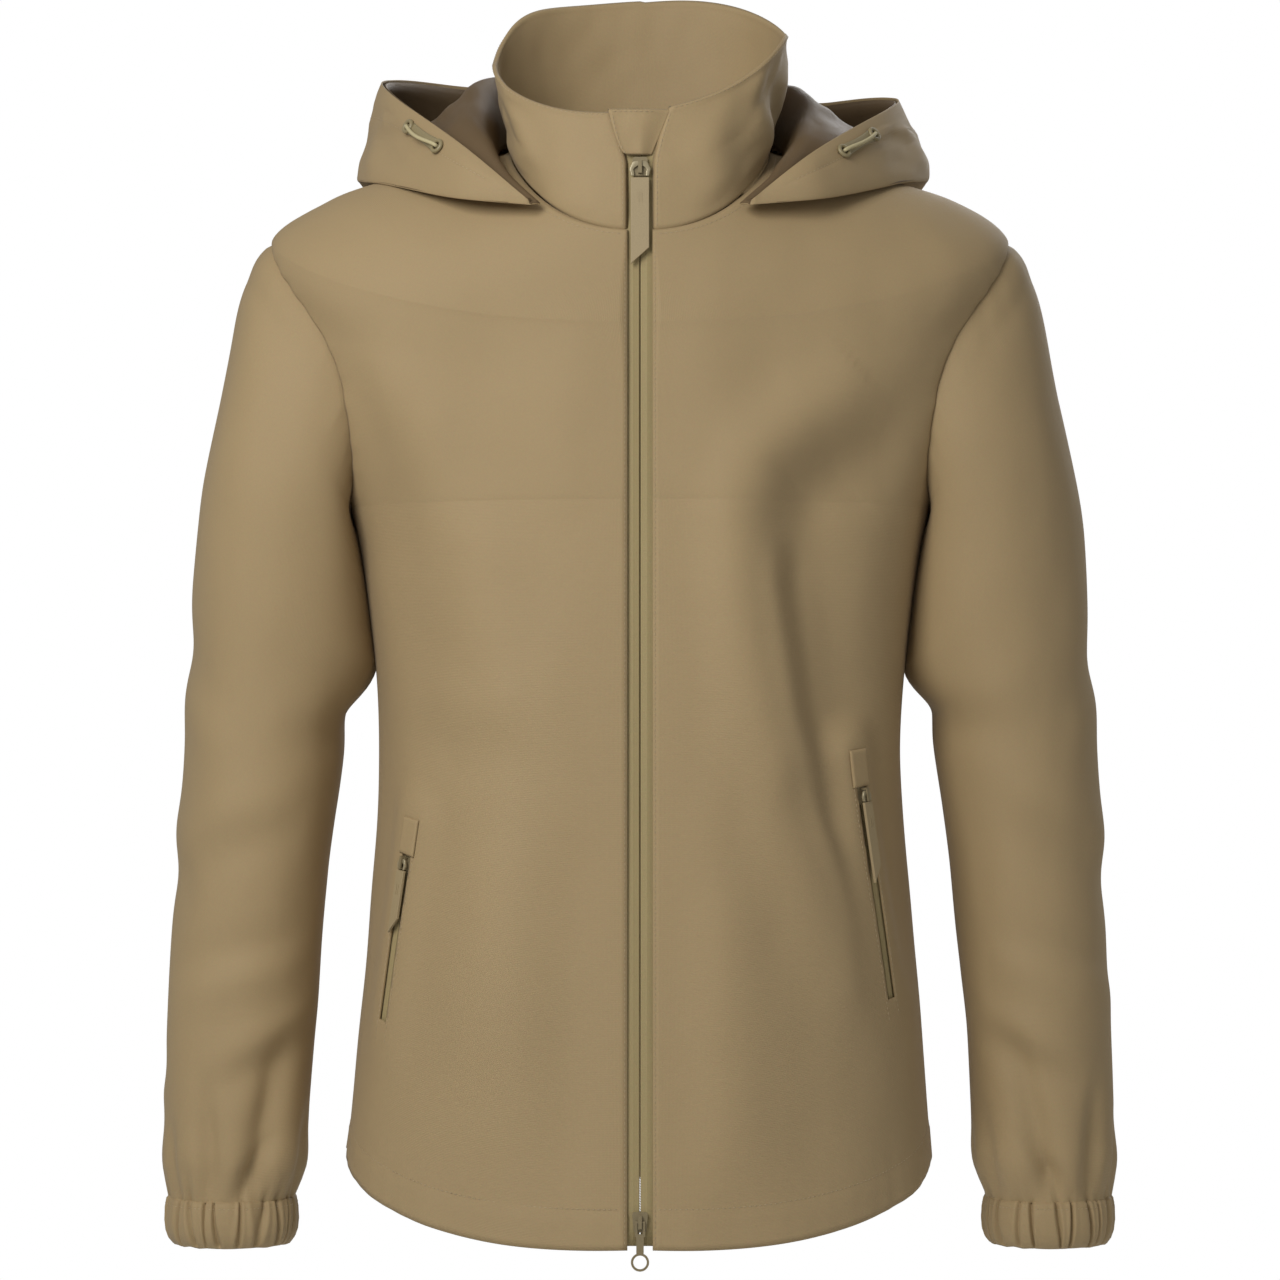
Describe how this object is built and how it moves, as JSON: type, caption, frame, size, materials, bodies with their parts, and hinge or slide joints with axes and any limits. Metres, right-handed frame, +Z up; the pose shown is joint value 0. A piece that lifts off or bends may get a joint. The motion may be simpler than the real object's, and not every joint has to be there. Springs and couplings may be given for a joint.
{
  "type": "hooded jacket",
  "caption": "Hooded shell jacket with a two-way front zip, stand collar, folded-down hood, zipped side pockets, set-in sleeves with gathered cuffs and a curved hem",
  "frame": {"origin": "between the wearer's shoulders, in the middle of the line through the two neck points, where a hanger or the shoulders hold the jacket up", "axes": "+X to the wearer's left, -Y out of the front, +Z up"},
  "size_m": [0.5904, 0.3391, 0.7789],
  "materials": {
    "shell_fabric": "matt tan plain-weave shell cloth",
    "lining_fabric": "satin tan lining",
    "zip_tape": "woven tape, smooth and slightly olive",
    "zip_coil": "moulded nylon coil",
    "cord": "pale braided cord",
    "elastic": "knitted elastic",
    "painted_hardware": "tan paint on die-cast zinc",
    "pull_tabs": "soft moulded tan tab, plain"
  },
  "bodies": {
    "shell": {"right_front_panel": "shell_fabric", "left_front_panel": "shell_fabric", "back_panel": "shell_fabric", "right_front_facing": "lining_fabric", "left_front_facing": "lining_fabric", "back_neck_facing": "lining_fabric", "collar_shell": "shell_fabric", "collar_lining": "lining_fabric", "chin_guard": "shell_fabric", "hanger_loop": "zip_tape", "hood_right_wing": "shell_fabric", "hood_left_wing": "shell_fabric", "hood_ridge": "shell_fabric", "hood_right_wing_lining": "lining_fabric", "hood_left_wing_lining": "lining_fabric", "hood_ridge_lining": "lining_fabric", "right_hood_eyelets": "painted_hardware", "left_hood_eyelets": "painted_hardware", "right_hood_cord": "cord", "left_hood_cord": "cord", "zip_right_tape": "zip_tape", "zip_left_tape": "zip_tape", "zip_right_coil": "zip_coil", "zip_left_coil": "zip_coil", "zip_top_stops": "painted_hardware", "zip_bottom_pins": "painted_hardware", "right_pocket_bag": "lining_fabric", "right_pocket_garage": "shell_fabric", "right_pocket_tapes": "zip_tape", "right_pocket_coils": "zip_coil", "left_pocket_bag": "lining_fabric", "left_pocket_garage": "shell_fabric", "left_pocket_tapes": "zip_tape", "left_pocket_coils": "zip_coil"},
    "hood_pouch": {"hood_right_panel": "shell_fabric", "hood_left_panel": "shell_fabric", "hood_centre_panel": "shell_fabric", "hood_right_lining": "lining_fabric", "hood_left_lining": "lining_fabric", "hood_centre_lining": "lining_fabric"},
    "right_sleeve": {"right_sleeve_panel": "shell_fabric", "right_cuff": "shell_fabric", "right_cuff_elastic": "elastic"},
    "left_sleeve": {"left_sleeve_panel": "shell_fabric", "left_cuff": "shell_fabric", "left_cuff_elastic": "elastic"},
    "main_slider": {"top_slider": "painted_hardware"},
    "main_pull": {"top_pull_link": "painted_hardware", "top_pull_tab": "pull_tabs"},
    "lower_slider": {"bottom_slider": "painted_hardware"},
    "lower_pull": {"bottom_pull": "painted_hardware"},
    "right_pocket_slider_body": {"right_pocket_slider": "painted_hardware"},
    "right_pocket_pull": {"right_pocket_pull_link": "painted_hardware", "right_pocket_pull_tab": "pull_tabs"},
    "left_pocket_slider_body": {"left_pocket_slider": "painted_hardware"},
    "left_pocket_pull": {"left_pocket_pull_link": "painted_hardware", "left_pocket_pull_tab": "pull_tabs"}
  },
  "joints": [
    {"name": "hood_swing", "type": "hinge", "parent": "shell", "child": "hood_pouch", "pos_m": [0, 0.138, 0.07], "axis": [1, 0, 0], "range_deg": [0, 40]},
    {"name": "right_sleeve_lift", "type": "hinge", "parent": "shell", "child": "right_sleeve", "pos_m": [-0.229, 0.004, -0.05], "axis": [0, 1, 0], "range_deg": [0, 45]},
    {"name": "left_sleeve_lift", "type": "hinge", "parent": "shell", "child": "left_sleeve", "pos_m": [0.229, 0.004, -0.05], "axis": [0, -1, 0], "range_deg": [0, 45]},
    {"name": "main_slider_slide", "type": "slide", "parent": "shell", "child": "main_slider", "axis": [0, -0.0896, -0.996], "range_m": [0, 0.4]},
    {"name": "main_pull_flip", "type": "hinge", "parent": "main_slider", "child": "main_pull", "pos_m": [0, -0.09809, -0.01002], "axis": [-1, 0, 0], "range_deg": [0, 150]},
    {"name": "lower_slider_slide", "type": "slide", "parent": "shell", "child": "lower_slider", "axis": [0, 0.0896, 0.996], "range_m": [0, 0.13]},
    {"name": "lower_pull_flip", "type": "hinge", "parent": "lower_slider", "child": "lower_pull", "pos_m": [0, -0.15465, -0.63848], "axis": [-1, 0, 0], "range_deg": [0, 150]},
    {"name": "right_pocket_slider_slide", "type": "slide", "parent": "shell", "child": "right_pocket_slider_body", "axis": [-0.148, 0.0685, -0.9866], "range_m": [0, 0.089]},
    {"name": "right_pocket_pull_flip", "type": "hinge", "parent": "right_pocket_slider_body", "child": "right_pocket_pull", "pos_m": [-0.14396, -0.07991, -0.42968], "axis": [-0.5446, 0.8271, 0.1391], "range_deg": [0, 150]},
    {"name": "left_pocket_slider_slide", "type": "slide", "parent": "shell", "child": "left_pocket_slider_body", "axis": [0.1412, 0.0573, -0.9883], "range_m": [0, 0.117]},
    {"name": "left_pocket_pull_flip", "type": "hinge", "parent": "left_pocket_slider_body", "child": "left_pocket_pull", "pos_m": [0.1368, -0.08451, -0.38809], "axis": [-0.5981, -0.7906, -0.1313], "range_deg": [0, 150]}
  ]
}
